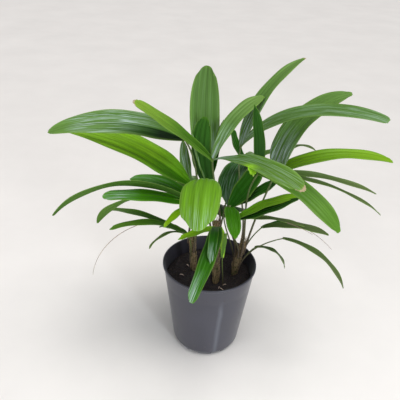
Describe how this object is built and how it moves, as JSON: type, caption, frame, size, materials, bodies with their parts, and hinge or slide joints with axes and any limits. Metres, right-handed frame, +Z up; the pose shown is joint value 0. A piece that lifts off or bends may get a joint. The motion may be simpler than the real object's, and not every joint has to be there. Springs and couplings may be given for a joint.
{
  "type": "potted palm",
  "caption": "A small potted lady palm: narrow pleated leaf segments with blunt bitten tips, fanned on thin stalks from short fibrous canes, in soil in a tapered round pot with a flared rim.",
  "frame": {"origin": "middle of the pot's underside", "axes": "+Z up, +X to the right of the front, -Y towards the front"},
  "size_m": [0.3968, 0.261, 0.3674],
  "materials": {
    "pot_plastic": "satin",
    "potting_mix": "rough",
    "cane_fibre": "rough",
    "leaf_green": "satin",
    "leaf_bright": "satin",
    "leaf_dark": "satin"
  },
  "bodies": {
    "root": {"pot": "pot_plastic", "soil": "potting_mix", "cane_left": "cane_fibre", "cane_centre": "cane_fibre", "cane_right": "cane_fibre", "frond_crown": "leaf_green", "frond_top": "leaf_green", "frond_front_broad": "leaf_bright", "frond_front_low": "leaf_bright", "frond_shoot": "leaf_bright", "frond_left_high": "leaf_green", "frond_left_wide": "leaf_bright", "frond_left_mid": "leaf_dark", "frond_left_low": "leaf_dark", "frond_right_back": "leaf_green", "frond_right_high": "leaf_green", "frond_right_mid": "leaf_green", "frond_right_dark": "leaf_dark", "frond_right_low": "leaf_bright", "frond_right_arch": "leaf_dark", "frond_right_thin": "leaf_dark", "frond_right_small": "leaf_dark", "frond_rear_left": "leaf_green", "frond_rear_middle": "leaf_green", "frond_rear_right": "leaf_green", "frond_rear_low": "leaf_dark"}
  },
  "joints": []
}
